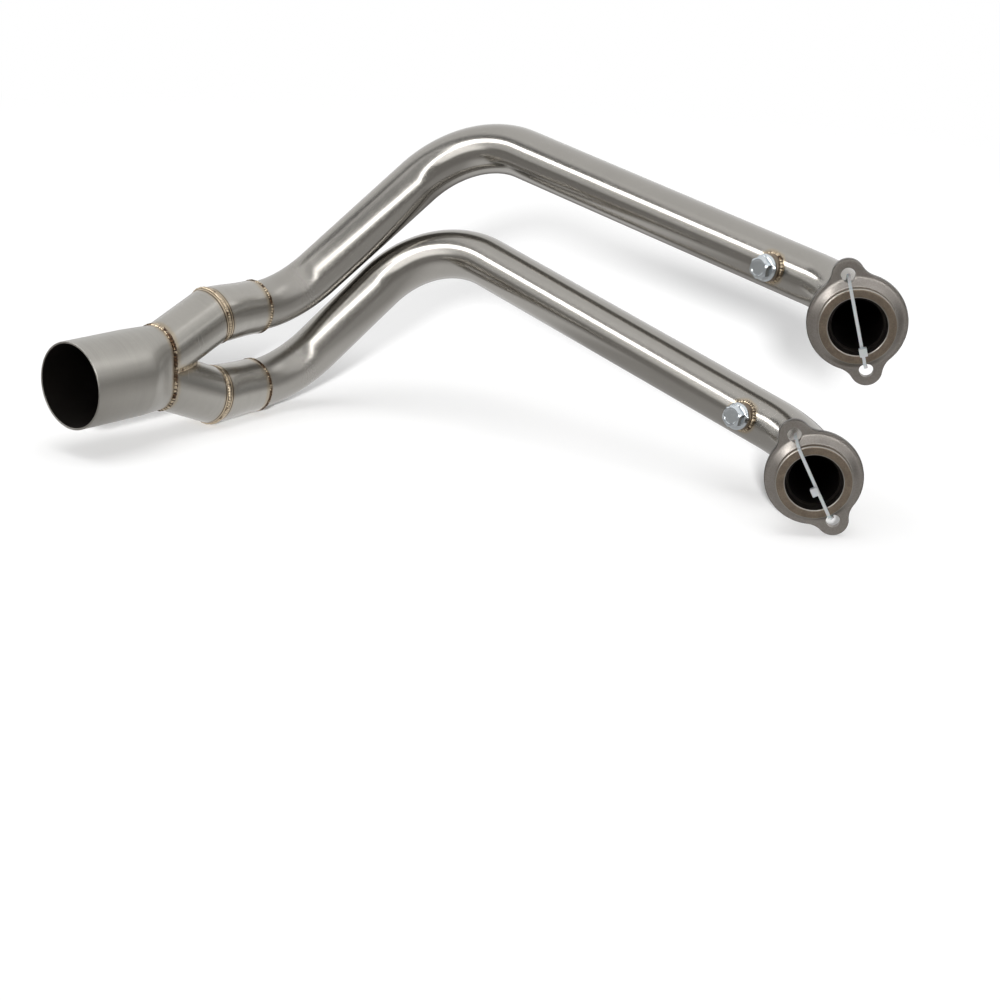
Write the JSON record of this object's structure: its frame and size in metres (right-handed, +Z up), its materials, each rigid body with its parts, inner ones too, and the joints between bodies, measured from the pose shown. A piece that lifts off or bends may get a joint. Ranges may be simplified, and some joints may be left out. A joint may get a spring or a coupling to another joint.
{
  "type": "motorcycle exhaust header",
  "caption": "Stainless two-into-one motorcycle exhaust header: bent primary pipes with loose port flanges, tapered sleeves, mitred merge legs and a round outlet.",
  "frame": {"origin": "centre of the outlet tube's open mouth", "axes": "+X along the outlet tube from its mouth to the legs, +Z up towards the upper pipe, +Y away from the ports"},
  "size_m": [0.3274, 0.5065, 0.2091],
  "materials": {
    "outlet_steel": "satin tube grey, dulled by pressing",
    "pipe_steel": "fine brushing round the tube, straw heat tint beside the welds",
    "flange_steel": "dull pressed plate",
    "collar_steel": "turned, browned by welding heat",
    "zinc_plate": "bright zinc plated",
    "weld_metal": "rippled weld bead with straw and brown heat tint"
  },
  "bodies": {
    "root": {"outlet_tube": "outlet_steel", "merge_leg_a": "outlet_steel", "merge_leg_b": "outlet_steel", "taper_sleeve_a": "outlet_steel", "taper_sleeve_b": "outlet_steel", "primary_pipe_a": "pipe_steel", "primary_pipe_b": "pipe_steel", "port_collar_a": "collar_steel", "port_collar_b": "collar_steel", "port_flange_a": "flange_steel", "port_flange_b": "flange_steel", "sensor_boss_a": "collar_steel", "sensor_boss_b": "collar_steel", "plug_washer_a": "zinc_plate", "plug_washer_b": "zinc_plate", "plug_bolt_a": "zinc_plate", "plug_bolt_b": "zinc_plate", "weld_outlet": "weld_metal", "weld_crotch": "weld_metal", "weld_leg_a": "weld_metal", "weld_leg_b": "weld_metal", "weld_sleeve_a": "weld_metal", "weld_sleeve_b": "weld_metal", "weld_boss_a": "weld_metal", "weld_boss_b": "weld_metal", "weld_port_a": "weld_metal", "weld_port_b": "weld_metal"}
  },
  "joints": []
}
